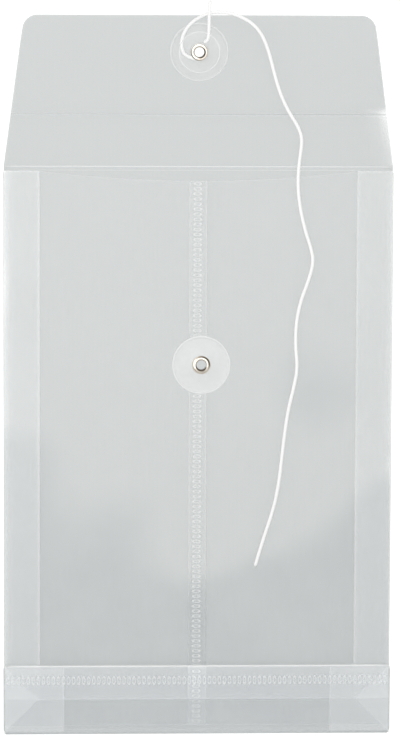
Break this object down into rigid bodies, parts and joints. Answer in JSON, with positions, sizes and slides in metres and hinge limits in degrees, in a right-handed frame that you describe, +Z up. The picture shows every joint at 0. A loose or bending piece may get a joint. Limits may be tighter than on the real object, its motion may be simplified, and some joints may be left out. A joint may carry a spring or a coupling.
{
  "type": "string tie envelope",
  "caption": "Clear film envelope with side gussets, a folded squared bottom and an open flap, closed by winding a string round button discs on eyelets.",
  "frame": {"origin": "centre of the outline at table level, with the open flap counted and the string left out", "axes": "+X across the envelope, +Y from the bottom fold to the open flap, +Z up from the front panel towards the back panel"},
  "size_m": [0.1588, 0.3009, 0.0051],
  "materials": {
    "film": "clear polypropylene film with a slight haze",
    "washer": "clear polypropylene disc",
    "button": "translucent white plastic disc",
    "eyelet": "nickel plated, polished",
    "string": "white twisted cotton"
  },
  "bodies": {
    "front": {"front_panel": "film", "flap_crease": "film", "string": "string"},
    "flap": {"flap_panel": "film", "flap_washer": "washer", "flap_eyelet": "eyelet", "string_tail": "string"},
    "flap_disc": {"flap_button": "button"},
    "gusset_front_left": {"gusset_front_left": "film"},
    "gusset_back_left": {"gusset_back_left": "film"},
    "gusset_front_right": {"gusset_front_right": "film"},
    "gusset_back_right": {"gusset_back_right": "film"},
    "back": {"back_panel_left": "film", "back_panel_right": "film", "back_washer": "washer", "back_eyelet": "eyelet"},
    "back_disc": {"back_button": "button"},
    "foot": {"back_foot": "film"},
    "bottom": {"bottom_side_flap_left": "film", "bottom_side_flap_right": "film", "bottom_back_flap": "film", "bottom_front_flap": "film"},
    "corner_left": {"corner_tuck_left": "film"},
    "corner_right": {"corner_tuck_right": "film"},
    "tuck_left": {"bottom_tuck_left": "film"},
    "tuck_right": {"bottom_tuck_right": "film"}
  },
  "joints": [
    {"name": "flap_fold", "type": "hinge", "parent": "front", "child": "flap", "pos_m": [0, 0.08555, 0.0014], "axis": [1, 0, 0], "range_deg": [0, 176.59], "deforming": ["string", "flap_crease"]},
    {"name": "flap_button_spin", "type": "hinge", "parent": "flap", "child": "flap_disc", "pos_m": [0, 0.13247, 0.00279], "axis": [0, -0.0594, 0.9982], "continuous": true},
    {"name": "pocket_expand", "type": "hinge", "parent": "front", "child": "gusset_front_left", "pos_m": [-0.07938, 0, 0.00028], "axis": [0, -1, 0], "range_deg": [0, 90], "deforming": ["corner_tuck_left", "corner_tuck_right", "bottom_tuck_left", "bottom_tuck_right"]},
    {"name": "gusset_left_crease", "type": "hinge", "parent": "gusset_front_left", "child": "gusset_back_left", "pos_m": [-0.06477, 0, 0.00063], "axis": [0, -1, 0], "range_deg": [-180, 0]},
    {"name": "back_left_edge", "type": "hinge", "parent": "gusset_back_left", "child": "back", "pos_m": [-0.07938, 0, 0.00097], "axis": [0, -1, 0], "range_deg": [0, 90]},
    {"name": "gusset_right_edge", "type": "hinge", "parent": "front", "child": "gusset_front_right", "pos_m": [0.07938, 0, 0.00028], "axis": [0, 1, 0], "range_deg": [0, 90]},
    {"name": "gusset_right_crease", "type": "hinge", "parent": "gusset_front_right", "child": "gusset_back_right", "pos_m": [0.06477, 0, 0.00063], "axis": [0, 1, 0], "range_deg": [-180, 0]},
    {"name": "foot_crease", "type": "hinge", "parent": "back", "child": "foot", "pos_m": [0, -0.1335, 0.00145], "axis": [1, 0, 0], "range_deg": [0, 180]},
    {"name": "bottom_crease", "type": "hinge", "parent": "foot", "child": "bottom", "pos_m": [0, -0.11955, 0.00245], "axis": [1, 0, 0], "range_deg": [-90, 0]},
    {"name": "corner_crease_left", "type": "hinge", "parent": "foot", "child": "corner_left", "pos_m": [-0.07938, 0, 0.00193], "axis": [0, -1, 0], "range_deg": [0, 90]},
    {"name": "corner_crease_right", "type": "hinge", "parent": "foot", "child": "corner_right", "pos_m": [0.07938, 0, 0.00193], "axis": [0, 1, 0], "range_deg": [0, 90]},
    {"name": "tuck_crease_left", "type": "hinge", "parent": "bottom", "child": "tuck_left", "pos_m": [-0.07938, 0, 0.00263], "axis": [0, 1, 0], "range_deg": [0, 90]},
    {"name": "tuck_crease_right", "type": "hinge", "parent": "bottom", "child": "tuck_right", "pos_m": [0.07938, 0, 0.00263], "axis": [0, -1, 0], "range_deg": [0, 90]},
    {"name": "back_button_spin", "type": "hinge", "parent": "back", "child": "back_disc", "pos_m": [0.0012, 0.00525, 0.0015], "axis": [0, 0, 1], "continuous": true}
  ],
  "couplings": [
    {"joint": "gusset_left_crease", "follows": "pocket_expand", "ratio": -2},
    {"joint": "back_left_edge", "follows": "pocket_expand", "ratio": 1},
    {"joint": "gusset_right_edge", "follows": "pocket_expand", "ratio": 1},
    {"joint": "gusset_right_crease", "follows": "pocket_expand", "ratio": -2},
    {"joint": "foot_crease", "follows": "pocket_expand", "ratio": 2},
    {"joint": "bottom_crease", "follows": "pocket_expand", "ratio": -1},
    {"joint": "corner_crease_left", "follows": "pocket_expand", "ratio": 1},
    {"joint": "corner_crease_right", "follows": "pocket_expand", "ratio": 1},
    {"joint": "tuck_crease_left", "follows": "pocket_expand", "ratio": 1},
    {"joint": "tuck_crease_right", "follows": "pocket_expand", "ratio": 1}
  ]
}
